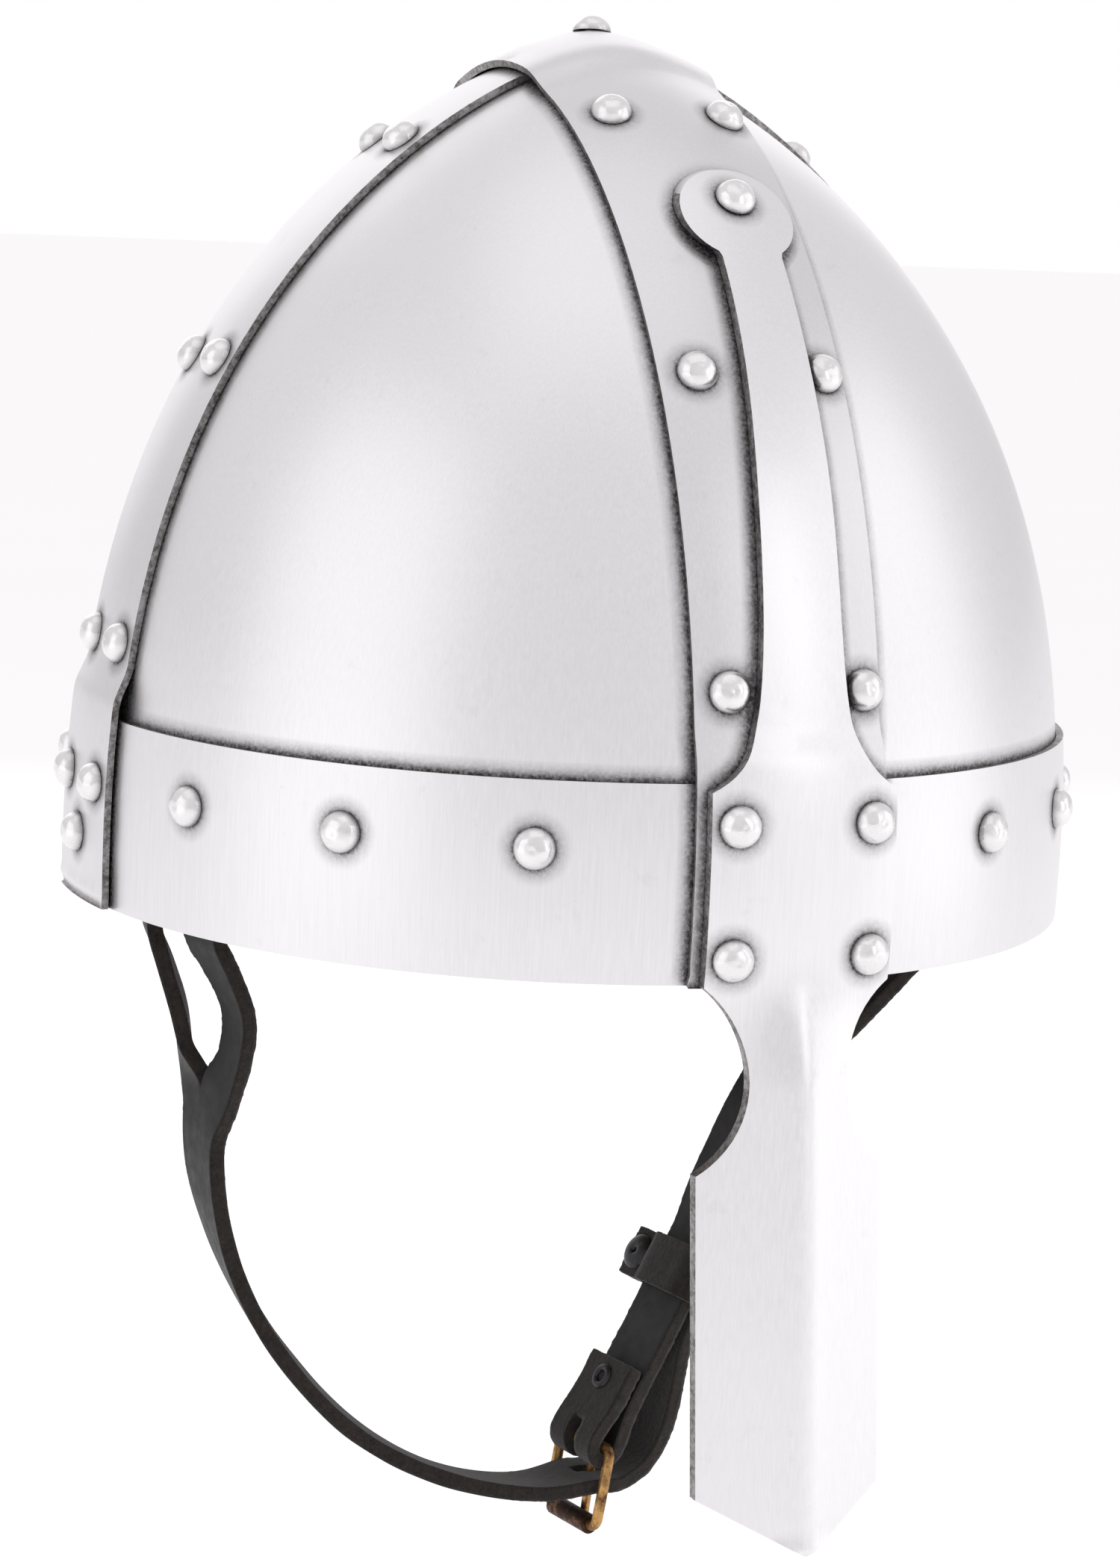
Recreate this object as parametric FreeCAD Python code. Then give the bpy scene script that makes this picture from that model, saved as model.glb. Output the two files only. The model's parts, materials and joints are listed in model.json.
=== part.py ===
"""Spangenhelm: riveted helmet with nasal guard, leather liner and buckled chin strap.

Frame: +Z up, the face looks along -Y, +X is the wearer's left.
The origin is the centre of the rim plane, where the brow band ends. Millimetres.
"""
import FreeCAD
import Part
import math
import os

V = FreeCAD.Vector

# ---------------------------------------------------------------- driving dimensions
SHEET = 1.5                 # steel sheet of panels, ribs and band
GAP = 0.14                  # air between two sheets that lie on each other
HALF_WIDTH = 105.2          # dome panel outer face at the rim, side to side
HALF_LENGTH = 110.4         # the same, front to back
DOME_HEIGHT = 178.6         # where that face closes above the rim
SIDE_CURVE = (2.556, 1.437)     # exponents of the dome's outline seen from the front
LONG_CURVE = (2.238, 1.615)     # exponents of the outline seen from the side
LEAN = (-12.0, 10.6)        # the dome's axis leans forward at half height

BAND_HEIGHT = 38.4
PANEL_FOOT = 12.0           # the panels' lower edge, hidden behind the band
PANEL_TOP = 0.968           # the panels stop here under the crown, as a share of the height
PANEL_LAP = 4.5             # half the slot between two panels, under a rib

MAIN_RIB_HALF = 19.2
MAIN_RIB_CENTRE = -1.5      # the long rib sits a little towards the wearer's right
SIDE_RIB_HALF = 15.5
SIDE_RIB_CENTRE = 1.0
JOGGLE = 9.0                # length over which a rib steps up onto the band
JOGGLE_CLEAR = 2.5          # a step is finished this far before the sheet below begins
STEP = SHEET + GAP + 0.35   # height of such a step

NASAL_SHEET = 2.2
NASAL_HALF = 19.6
NASAL_NECK = 10.4           # half width between the two round notches
NASAL_SHOULDERS = (37.6, 0.3, -36.2, -98.3)
NASAL_TIP = -108.4
NASAL_DISC = (144.6, 12.2)  # height and radius of the round upper end
NASAL_STEM = ((138.0, 6.6), (116.0, 7.0), (90.0, 7.9), (66.0, 8.4), (57.0, 9.0))
NASAL_RIDGE = 9.5           # depth of the V fold at the guard's edge
NASAL_BULGE = 0.4           # share of the fold's depth that pushes the ridge forward
NASAL_FOLD = (5.0, 25.0)    # the fold starts at this height, and is complete this far below
NASAL_SET = 3.0             # the round end stands this far towards the wearer's left
FORWARD_LEAN = 0.1          # the guard leans forward below the rim

RIVET_HEAD = (4.1, 3.3)     # radius and height of a round head
RIVET_SHANK = 2.0
RIVET_TAIL = (3.2, 1.3)     # radius and height of the hammered end
HOLE_CLEARANCE = 0.1
WASHER = (5.0, 0.8)
MAIN_PAIRS = ((162.6, 12.2), (113.7, 13.2), (55.4, 13.9))
BAND_PAIRS = ((30.9, 13.4), (6.0, 13.6))
SIDE_PAIRS = ((156.3, 8.6), (111.1, 9.2), (53.6, 9.4))
SIDE_BAND_PAIR = (25.1, 9.4)
SIDE_LOW_RIVET = 13.5
BAND_RIVET_HEIGHT = 25.5
BAND_RIVET_ANGLES = (68.3, 47.9, 27.5)
CROWN_RIVET = (0.4, 0.004)  # offset to the wearer's left, and angle behind straight up

LINER = 2.0                 # leather of the liner
LINER_SPAN = (15.0, 41.0)
TONGUES = 8
TONGUE_FOOT = 35.0
TONGUE_TOP = 128.0
TONGUE_HALF = (20.0, 7.0)
TONGUE_SHEET = 1.6
TONGUE_CLEAR = 0.9
TONGUE_REACH = 0.26         # how near to the axis a tongue ends, as a share of the radius
CROWN_PAD = (15.0, 36.0)    # inner and outer radius of the ring that gathers the tongues

STRAP = 3.2                 # leather of the chin strap
STRAP_HALF = 7.5
TAIL_HALF = 6.0
TAIL_END = {"right": 6.5, "left": 16.5}   # the riveted ends stop at these heights
ANCHOR_TOP = 8.0            # leather above an anchor rivet

BUCKLE_BAR = V(-8.2, -45.0, -112.5)
STRAP_UP = V(0.475, 0.086, 0.817)    # the way the buckle strap rises from its bar
STRAP_ACROSS = V(-0.15, 0.985, 0.0)
FRAME_TILT = 20.0           # degrees between the hanging frame and the strap
FRAME_DROP = 16.6           # from bar to bar
FRAME_HALF = 9.2
WIRE = 1.15                 # radius of the buckle wire
ROLLER = 2.1
PRONG = 0.95
FLAP = 17.5                 # length of the folded-back leather
KEEPER_AT = 40.5
KEEPER_HALF = 5.5
KEEPER_LEATHER = 1.7


# ---------------------------------------------------------------- dome surface
def share(z):
    return min(max(z / DOME_HEIGHT, 0.0), 1.0)


def half_width(z):
    return HALF_WIDTH * (1 - share(z) ** SIDE_CURVE[0]) ** (1 / SIDE_CURVE[1])


def half_length(z):
    return HALF_LENGTH * (1 - share(z) ** LONG_CURVE[0]) ** (1 / LONG_CURVE[1])


def lean(z):
    return LEAN[0] * share(z) + LEAN[1] * share(z) ** 2


def wall(angle, z):
    """Dome surface: angle 0 at the brow, positive towards the wearer's right."""
    return V(-half_width(z) * math.sin(angle), lean(z) - half_length(z) * math.cos(angle), z)


def inside(x, y, z):
    if z >= DOME_HEIGHT:
        return False
    a = max(half_width(z), 1e-9)
    b = max(half_length(z), 1e-9)
    return (x / a) ** 2 + ((y - lean(z)) / b) ** 2 < 1


def arch(offset, turn, lengthwise):
    """Dome point in the vertical plane at this offset, at an angle from straight up."""
    low, high = 0.0, 1.5 * DOME_HEIGHT
    for _ in range(48):
        reach = (low + high) / 2
        along, z = reach * math.sin(turn), reach * math.cos(turn)
        x, y = (offset, along) if lengthwise else (along, offset)
        if inside(x, y, max(z, 0.0)):
            low = reach
        else:
            high = reach
    return V(x, y, max(z, 0.0))


def raised(surface, u, v, height):
    """Point of a surface moved outwards along its normal."""
    step = 1e-3
    point = surface(u, v)
    across = surface(u + step, v) - surface(u - step, v)
    along = surface(u, v + step) - surface(u, v - step)
    normal = across.cross(along).normalize()
    if normal.dot(point - V(0, 0, 0.3 * DOME_HEIGHT * share(point.z))) < 0:
        normal = -normal
    return point + normal * height


def smooth(value):
    t = min(max(value, 0.0), 1.0)
    return t * t * (3 - 2 * t)


def steps(first, last, count):
    return [first + (last - first) * i / (count - 1) for i in range(count)]


# ---------------------------------------------------------------- solids
def thick_sheet(point, us, vs):
    """Solid between the smooth faces point(u, v, 0) and point(u, v, 1)."""
    as_drawn = 1    # the rims keep their directions where a sheet folds back on itself
    skins = []
    for side in (0, 1):
        skin = Part.BSplineSurface()
        skin.interpolate([[point(u, v, side) for v in vs] for u in us])
        skins.append(skin)
    faces = [skin.toShape() for skin in skins]
    for pick in (0, 1):
        rims = [(s.uIso(s.bounds()[pick]), s.vIso(s.bounds()[2 + pick])) for s in skins]
        for inner, outer in zip(rims[0], rims[1]):
            faces.append(Part.makeRuledSurface(inner.toShape(), outer.toShape(), as_drawn))
    shell = Part.makeShell(faces)
    shell.sewShape()
    solid = Part.makeSolid(shell)
    if solid.Volume < 0:
        solid.reverse()
    return solid


def offset_sheet(surface, low, high, us, vs):
    """Sheet that follows a surface between two heights; low and high may vary with v."""
    def point(u, v, side):
        level = high if side else low
        return raised(surface, u, v, level(u, v) if callable(level) else level)
    return thick_sheet(point, us, vs)


def placed(shape, origin, normal):
    """Turn a shape's own +Z onto a direction and move it to a point."""
    shape = shape.copy()
    shape.Placement = FreeCAD.Placement(origin, FreeCAD.Rotation(V(0, 0, 1), normal))
    return shape


def turned(outline):
    """Solid of revolution about Z from (radius, height) points, or three for an arc."""
    edges = []
    for item in outline:
        points = [V(r, 0, z) for r, z in item]
        if len(points) == 3:
            edges.append(Part.Arc(*points).toShape())
        else:
            edges.append(Part.makeLine(*points))
    face = Part.Face(Part.Wire(edges))
    return face.revolve(V(0, 0, 0), V(0, 0, 1), 360)


def rivet(grip, washer=0.0):
    """Round head above z = 0, shank through the grip, hammered end below it."""
    radius, height = RIVET_HEAD
    end, bulge = RIVET_TAIL
    seat = -grip - washer - HOLE_CLEARANCE
    shoulder = (radius * 0.8, height * 0.66)
    return turned([
        [(0, height), shoulder, (radius, 0)],
        [(radius, 0), (RIVET_SHANK, 0)],
        [(RIVET_SHANK, 0), (RIVET_SHANK, seat)],
        [(RIVET_SHANK, seat), (end, seat)],
        [(end, seat), (end * 0.75, seat - bulge)],
        [(end * 0.75, seat - bulge), (0, seat - bulge)],
        [(0, seat - bulge), (0, height)],
    ])


def ring(inner, outer, height):
    return Part.makeCylinder(outer, height).cut(Part.makeCylinder(inner, height))


class Rivets:
    """A row of rivets with the holes and washers that go with them."""

    def __init__(self):
        self.groups = {}
        self.holes = []
        self.washers = []

    def add(self, group, surface, u, v, top, bottom, washer=False):
        seat = raised(surface, u, v, top)
        normal = (raised(surface, u, v, top + 1) - seat).normalize()
        grip = top - bottom
        pad = WASHER[1] + 4 * HOLE_CLEARANCE if washer else 0.0
        self.groups.setdefault(group, []).append(placed(rivet(grip, pad), seat, normal))
        hole = Part.makeCylinder(RIVET_SHANK + HOLE_CLEARANCE, grip + 8, V(0, 0, -grip - 5))
        self.holes.append(placed(hole, seat, normal))
        if washer:
            disc = ring(RIVET_SHANK + HOLE_CLEARANCE, WASHER[0], WASHER[1])
            under = seat - normal * (grip + 3 * HOLE_CLEARANCE + WASHER[1])
            self.washers.append(placed(disc, under, normal))

    def drill(self, sheet):
        box = sheet.BoundBox
        near = [hole for hole in self.holes if hole.BoundBox.intersect(box)]
        return sheet.cut(near) if near else sheet


# ---------------------------------------------------------------- layers of the stack
ON_DOME = GAP
ON_LAYER = ON_DOME + STEP
ON_TWO = ON_LAYER + SHEET + 2 * GAP
UNDER_PANEL = -SHEET
UNDER_LINER = -SHEET - GAP - LINER
UNDER_TAIL = UNDER_LINER - GAP - STRAP


def rib_level(z):
    """A rib lies on the dome, and steps up onto the brow band."""
    lift = smooth((BAND_HEIGHT + JOGGLE_CLEAR + JOGGLE - z) / JOGGLE)
    return ON_DOME + STEP * lift


def main_surface(x, turn):
    return arch(x, turn, True)


def side_surface(y, turn):
    return arch(y, turn, False)


def main_level(x, turn):
    """The long rib also steps over the cross rib at the crown."""
    point = arch(x, turn, True)
    reach = SIDE_RIB_HALF + JOGGLE_CLEAR + JOGGLE
    over = smooth((reach - abs(point.y - SIDE_RIB_CENTRE)) / JOGGLE)
    return max(rib_level(point.z), ON_DOME + STEP * over)


def side_level(y, turn):
    return rib_level(arch(y, turn, False).z)


def thickened(level, thickness):
    return lambda u, v: level(u, v) + thickness


def turn_at(offset, z, side, lengthwise):
    """Angle from straight up at which a rib passes a height, on one side."""
    low, high = 0.0, math.pi / 2
    for _ in range(40):
        middle = (low + high) / 2
        if arch(offset, side * middle, lengthwise).z > z:
            low = middle
        else:
            high = middle
    return side * low


# ---------------------------------------------------------------- shell parts
def dome_panel(side, rear):
    """One of the four dome plates; its edges lie under the ribs and the band."""
    def edges(z):
        b, shift = half_length(z), lean(z)
        centre = MAIN_RIB_CENTRE * -side
        front = math.asin((PANEL_LAP + centre) / half_width(z))
        if rear:
            back = math.acos((shift - SIDE_RIB_CENTRE - PANEL_LAP) / b)
            return back, math.pi - front
        return front, math.acos((shift - SIDE_RIB_CENTRE + PANEL_LAP) / b)

    def surface(u, w):
        z = DOME_HEIGHT * (1 - w ** 1.5)
        first, last = edges(z)
        return wall(side * (first + (last - first) * u), z)

    foot = (1 - PANEL_FOOT / DOME_HEIGHT) ** (1 / 1.5)
    top = (1 - PANEL_TOP) ** (1 / 1.5)
    return offset_sheet(surface, -SHEET, 0.0, steps(0, 1, 25), steps(foot, top, 19))


def brow_band():
    """The band is one strip whose butt seam lies under the rear of the long rib."""
    seam = 0.3 / HALF_WIDTH
    angles = steps(-math.pi + seam, math.pi - seam, 241)
    return offset_sheet(wall, ON_DOME, ON_DOME + SHEET, angles, steps(0.0, BAND_HEIGHT, 7))


def rib(surface, level, centre, half, lengthwise):
    turns = steps(-math.pi / 2, math.pi / 2, 161)
    offsets = steps(centre - half, centre + half, 9)
    return offset_sheet(surface, level, thickened(level, SHEET), offsets, turns)


def nasal_front(x, z):
    """Surface under the guard: the dome above the rim, a folded plate below it."""
    level = max(z, 0.0)
    sag = 1 - math.sqrt(max(1 - (x / half_width(level)) ** 2, 0.0))
    b = half_length(level)
    fold = smooth((NASAL_FOLD[0] - z) / NASAL_FOLD[1])
    crease = math.hypot(x, 0.7) - 0.7
    drop = 8.0 - z
    if drop < 0:
        forward = 0.0
    elif drop < 16:
        forward = FORWARD_LEAN * drop ** 2 / 32
    else:
        forward = FORWARD_LEAN * (drop - 8)
    depth = (1 - fold) * b * sag + fold * NASAL_RIDGE * crease / NASAL_HALF
    bulge = fold * (NASAL_RIDGE - b * 0.0175) * NASAL_BULGE
    return V(x, lean(level) - b - forward - bulge + depth, z)


def nasal_level(x, z):
    return rib_level(z) + SHEET + 2 * GAP


def nasal_outline():
    """Flat outline of the guard in x and z."""
    height, radius = NASAL_DISC
    flat = radius * abs((raised(nasal_front, 0, height, 1) - nasal_front(0, height)).y)
    corner, notch_top, notch_foot, foot = NASAL_SHOULDERS
    stem_top = NASAL_STEM[0]
    right = []
    left = []
    for side, edges in ((1, right), (-1, left)):
        def at(x, z):
            set_over = NASAL_SET * smooth((z - 45) / 100)
            return V(side * x + set_over, 0, z)
        disc = [at(radius * math.sin(t), height + flat * math.cos(t))
                for t in steps(0, math.acos(-0.82), 12)]
        curve = Part.BSplineCurve()
        curve.interpolate(disc)
        edges.append(curve.toShape())
        edges.append(Part.makeLine(disc[-1], at(stem_top[1], stem_top[0] - 1.5)))
        stem = [at(stem_top[1], stem_top[0] - 1.5)] + [at(w, z) for z, w in NASAL_STEM[1:]]
        stem += [at(11.0, 47.0), at(NASAL_HALF, corner)]
        curve = Part.BSplineCurve()
        curve.interpolate(stem)
        edges.append(curve.toShape())
        edges.append(Part.makeLine(at(NASAL_HALF, corner), at(NASAL_HALF, notch_top)))
        middle = at(NASAL_NECK, (notch_top + notch_foot) / 2)
        ends = at(NASAL_HALF, notch_top), at(NASAL_HALF, notch_foot)
        edges.append(Part.Arc(ends[0], middle, ends[1]).toShape())
        edges.append(Part.makeLine(at(NASAL_HALF, notch_foot), at(NASAL_HALF, foot)))
        edges.append(Part.makeLine(at(NASAL_HALF, foot), at(0, NASAL_TIP)))
    return Part.Face(Part.Wire(Part.__sortEdges__(right + left)))


def nasal_guard():
    heights = steps(NASAL_TIP - 3, NASAL_DISC[0] + 12, 96)
    offsets = steps(-NASAL_HALF - 4, NASAL_HALF + 4, 33)
    top = thickened(nasal_level, NASAL_SHEET)
    strip = offset_sheet(nasal_front, nasal_level, top, offsets, heights)
    outline = nasal_outline()
    outline.translate(V(0, -160, 0))
    return strip.common(outline.extrude(V(0, 150, 0)))


# ---------------------------------------------------------------- leather liner
def liner_band():
    seam = 0.6 / HALF_WIDTH
    angles = steps(-math.pi + seam, math.pi - seam, 181)
    top = -SHEET - GAP
    return offset_sheet(wall, UNDER_LINER, top, angles, steps(*LINER_SPAN, 5))


def tongue(index):
    """A leather tongue from the liner band up to the ring under the crown."""
    middle = 2 * math.pi * (index + 0.5) / TONGUES
    end = math.acos(TONGUE_REACH)

    def point(u, v, side):
        bend = end * v
        shrink, rise = math.cos(bend), math.sin(bend) / math.sin(end)
        z = TONGUE_FOOT + (TONGUE_TOP - TONGUE_FOOT) * rise
        half = TONGUE_HALF[0] + (TONGUE_HALF[1] - TONGUE_HALF[0]) * smooth(v * 1.1)
        inset = TONGUE_CLEAR - UNDER_LINER + TONGUE_SHEET * (1 - side)
        a = half_width(TONGUE_FOOT) * shrink - inset * math.cos(bend * 0.8)
        b = half_length(TONGUE_FOOT) * shrink - inset * math.cos(bend * 0.8)
        angle = middle + u * half / max(a, 1.0)
        down = TONGUE_SHEET * (1 - side) * math.sin(bend * 0.8)
        return V(-a * math.sin(angle), lean(z) - b * math.cos(angle), z - down)

    return thick_sheet(point, steps(-1, 1, 5), steps(0, 1, 13))


def crown_pad():
    inner, outer = CROWN_PAD
    pad = ring(inner, outer, LINER)
    pad.translate(V(0, lean(TONGUE_TOP), TONGUE_TOP + 1.2))
    return pad


# ---------------------------------------------------------------- chin strap
def path_curve(points):
    curve = Part.BSplineCurve()
    curve.interpolate(points)
    return curve


def between(directions, share_of_way):
    """Direction part of the way along a list of directions."""
    place = share_of_way * (len(directions) - 1)
    index = min(int(place), len(directions) - 2)
    return directions[index] + (directions[index + 1] - directions[index]) * smooth(place - index)


def strap_sheet(points, across, half, thickness, rows=36):
    """Flat strap along a route, its width turning with the directions given."""
    route = path_curve(points)
    first, last = route.FirstParameter, route.LastParameter

    def point(u, v, side):
        at = first + (last - first) * v
        along = route.tangent(at)[0]
        width = between(across, v)
        width = (width - along * width.dot(along)).normalize()
        normal = along.cross(width)
        return route.value(at) + width * (u * half) + normal * (thickness * (side - 0.5))

    return thick_sheet(point, [-1, -0.5, 0, 0.5, 1], steps(0, 1, rows))


def fixed_tail(side, head, foot):
    """The riveted upper end of one tail, from its anchor down to just inside the rim."""
    (head_angle, head_z), (foot_angle, foot_z) = head, foot

    def surface(u, v):
        z = head_z + ANCHOR_TOP + (foot_z - head_z - ANCHOR_TOP) * v
        middle = math.radians(head_angle + (foot_angle - head_angle) * v)
        return wall(side * (middle + u * TAIL_HALF / HALF_WIDTH), z)

    top = UNDER_LINER - GAP
    return offset_sheet(surface, UNDER_TAIL, top, steps(-1, 1, 5), steps(0, 1, 7))


def buckle_axes():
    up = V(STRAP_UP).normalize()
    across = (STRAP_ACROSS - up * STRAP_ACROSS.dot(up)).normalize()
    out = across.cross(up)
    if out.x < 0:
        out = -out
    return up, across, out


UP, ACROSS, OUT = buckle_axes()


def strap_point(height, out, width=0.0):
    """Point in the buckle strap's own frame, measured from the buckle's bar."""
    return BUCKLE_BAR + UP * height + OUT * out + ACROSS * width


# ---------------------------------------------------------------- routes of the chin strap
RIGHT_FRONT_TAIL = [V(-94.3, -40.3, -0.5), V(-90.5, -40.6, -8), V(-86.6, -40.4, -17),
                    V(-86.4, -39.3, -25), V(-88.4, -36.6, -36)]
RIGHT_REAR_TAIL = [V(-99.2, -21, -0.5), V(-96.4, -22, -10), V(-93.8, -23.5, -19),
                   V(-92.4, -25.0, -28), V(-91.4, -26.4, -36)]
RIGHT_STRAP = [V(-90.0, -32.2, -37), V(-90.5, -32.8, -50), V(-87.3, -33.6, -64.8),
               V(-81.5, -35.6, -79), V(-72.0, -38, -93.6), V(-60.4, -40, -106.0),
               V(-48.4, -42, -114.2), V(-34.7, -44, -119.6), V(-20.0, -45, -121.9)]
LEFT_FRONT_TAIL = [V(90.5, -39.4, 9.5), V(80.0, -40.6, 0.5), V(68.0, -41.4, -10), V(57.0, -42, -20),
                   V(46.2, -42, -30.1), V(38.2, -40.8, -37.2)]
LEFT_REAR_TAIL = [V(93.5, -20, 9.5), V(78.0, -21.5, -1), V(62.0, -23, -13), V(46.0, -26, -26.5),
                  V(34.0, -31.0, -38)]
LEFT_STRAP = [V(34.4, -36.5, -39.8), V(28.6, -37.2, -49.6), V(22.4, -38.6, -61)]
FREE_END = [(-7.6, 3.0), (-5.6, 7.6), (0.5, 12.0), (8.5, 12.6), (17.0, 10.4), (25.0, 7.4),
            (33.0, 5.95), (40.0, 5.7), (50.0, 5.7), (62.0, 5.7)]
FOLD = [(50.0, 1.95), (42.0, 1.95), (32.0, 1.95), (20.0, 1.95), (9.5, 1.95), (4.8, 2.6),
        (0.0, 3.3), (-2.33, 2.33), (-3.3, 0.0), (-2.33, -2.33), (0.0, -3.3), (4.8, -2.6),
        (9.5, -1.95), (FLAP, -1.95)]
KEEPER_LOOP = [(18.9, 2.6), (16.5, 2.6), (14.0, 2.6), (11.7, 2.5), (10.1, 1.6), (8.9, -0.1),
               (6.8, -1.8), (2.5, -2.2), (-2.5, -2.2), (-7.2, -1.9), (-9.9, 0.2), (-10.3, 3.9),
               (-10.0, 7.2), (-7.4, 9.4), (-2.5, 9.7), (2.5, 9.7), (7.0, 9.4), (9.1, 7.8),
               (10.1, 5.7), (11.7, 4.7), (14.0, 4.6), (16.5, 4.6), (18.9, 4.6)]
ALONG_Y = V(0, 1, 0)
STUD_AT = 15.2
STUD = (3.9, 1.4)           # radius and height of a cap
STUD_POST = 1.2
KEEPER_GRIP = (1.4, 5.6)    # the caps sit on these levels of the strap's thickness
FLAP_RIVET_AT = 13.0
FLAP_RIVET = (2.6, 1.0)
FLAP_GRIP = (-3.65, 3.65)


def long_strap():
    """Wearer's right: down from the fork, through the buckle and up to its free end."""
    route = RIGHT_STRAP + [strap_point(h, n) for h, n in FREE_END]
    across = [ALONG_Y, V(0.05, 1, 0), V(0.2, 0.96, 0), V(0.28, 0.95, -0.05), V(0.1, 1, 0),
              ACROSS, ACROSS, ACROSS]
    strap = strap_sheet(route, across, STRAP_HALF, STRAP, 64)
    down, off = frame_axes()
    slot = Part.makeBox(10.0, 3.2, 9.6, V(3.4, -1.6, -1.4))
    return strap.cut(in_frame(slot, down, off))


def buckle_strap():
    """Wearer's left: down to the buckle, round its bar and back up as a short flap."""
    route = LEFT_STRAP + [strap_point(h, n) for h, n in FOLD]
    across = [ALONG_Y, V(-0.05, 1, 0), ACROSS, ACROSS, ACROSS, ACROSS]
    strap = strap_sheet(route, across, STRAP_HALF, STRAP, 90)
    slot = Part.makeBox(10.5, 3.4, 16.0, V(-5.8, -1.7, -8.0))
    strap = strap.cut(in_strap(slot))
    hole = Part.makeCylinder(STUD_POST + HOLE_CLEARANCE, 12, V(FLAP_RIVET_AT, 0, -6))
    return strap.cut(in_strap(hole))


def fork_tails(front, rear):
    """Two tails that spread from one strap; the rear one is cut narrower."""
    hand = 1 if front[0].x > 0 else -1
    along_wall = V(0.36 * hand, 0.93, 0)
    first = strap_sheet(front, [along_wall, ALONG_Y, ALONG_Y], TAIL_HALF, STRAP, 20)
    twisted = V(-0.2 * hand, 0.97, 0)
    second = strap_sheet(rear, [ALONG_Y, twisted, ALONG_Y], TAIL_HALF * 0.75, STRAP, 20)
    return Part.makeCompound([first, second])


def matrix_of(origin, first, second, third):
    return FreeCAD.Matrix(first.x, second.x, third.x, origin.x,
                          first.y, second.y, third.y, origin.y,
                          first.z, second.z, third.z, origin.z, 0, 0, 0, 1)


def moved(shape, matrix):
    """Rigid move of a shape by a matrix."""
    shape = shape.copy()
    shape.Placement = FreeCAD.Placement(matrix).multiply(shape.Placement)
    return shape


def in_strap(shape):
    """Shape drawn with X up the buckle strap, Y across it and Z in towards the chin."""
    return moved(shape, matrix_of(BUCKLE_BAR, UP, ACROSS, UP.cross(ACROSS)))


def frame_axes():
    tilt = math.radians(FRAME_TILT)
    down = -UP * math.cos(tilt) + OUT * math.sin(tilt)
    off = UP * math.sin(tilt) + OUT * math.cos(tilt)
    return down, off


def in_frame(shape, down, off):
    """Shape drawn with X from the bar to the roller, Y across and Z outwards."""
    across = off.cross(down)
    return moved(shape, matrix_of(BUCKLE_BAR, down, across, off))


def buckle_frame():
    corner = 2.0
    half = FRAME_HALF
    drop = FRAME_DROP
    quarter = corner * (1 - math.sqrt(0.5))
    points = [V(0, -half, 0), V(drop, -half, 0), V(drop, half, 0), V(0, half, 0)]
    edges = []
    for i, here in enumerate(points):
        before, after = points[i - 1], points[(i + 1) % 4]
        back = (before - here).normalize()
        on = (after - here).normalize()
        start, end = here + back * corner, here + on * corner
        middle = here + (back + on) * quarter
        edges.append(Part.Arc(start, middle, end).toShape())
        edges.append(Part.makeLine(end, after - on * corner))
    path = Part.Wire(Part.__sortEdges__(edges[1:] + edges[:1]))
    first = edges[1].Vertexes[0].Point
    circle = Part.Wire(Part.makeCircle(WIRE, first, edges[1].tangentAt(edges[1].FirstParameter)))
    return path.makePipeShell([circle], True, True)


def prong():
    clear = 0.08
    reach = WIRE + PRONG + clear
    loop = Part.makeTorus(reach, PRONG, V(0, 0, 0), V(0, 1, 0))
    end = ROLLER + PRONG + 0.15
    start = V(0, 0, reach)
    tip = V(FRAME_DROP + 1.6, 0, end)
    along = tip - start
    tongue = Part.makeCylinder(PRONG, along.Length, start, along)
    nose = Part.makeSphere(PRONG, tip)
    return loop.fuse([tongue, nose])


def roller():
    length = 2 * (FRAME_HALF - 2.3)
    tube = Part.makeCylinder(ROLLER, length).cut(Part.makeCylinder(WIRE + 0.08, length))
    tube.Placement = FreeCAD.Placement(V(FRAME_DROP, length / 2, 0), FreeCAD.Rotation(V(1, 0, 0), 90))
    return tube


def keeper():
    middle = KEEPER_AT
    route = [strap_point(middle, n, w) for w, n in KEEPER_LOOP]
    band = strap_sheet(route, [UP, UP], KEEPER_HALF, KEEPER_LEATHER, 60)
    hole = Part.makeCylinder(STUD_POST + HOLE_CLEARANCE, 16, V(middle, STUD_AT, -8))
    return band.cut(in_strap(hole))


def stud(height, width, grip, head, post):
    """Two low caps on a post through leather, drawn in the strap's own frame."""
    radius, bulge = head
    low, high = grip
    cap = [
        [(0, bulge), (radius * 0.75, bulge * 0.7), (radius, 0)],
        [(radius, 0), (0, 0)],
        [(0, 0), (0, bulge)],
    ]
    sign = UP.cross(ACROSS).dot(OUT)
    near, far = sorted((sign * low, sign * high))
    top = turned(cap)
    top.Placement = FreeCAD.Placement(V(height, width, far), FreeCAD.Rotation())
    foot = turned(cap)
    foot.Placement = FreeCAD.Placement(V(height, width, near), FreeCAD.Rotation(V(1, 0, 0), 180))
    shaft = Part.makeCylinder(post, far - near + 0.2, V(height, width, near - 0.1))
    return in_strap(shaft.fuse([top, foot]))


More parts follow.
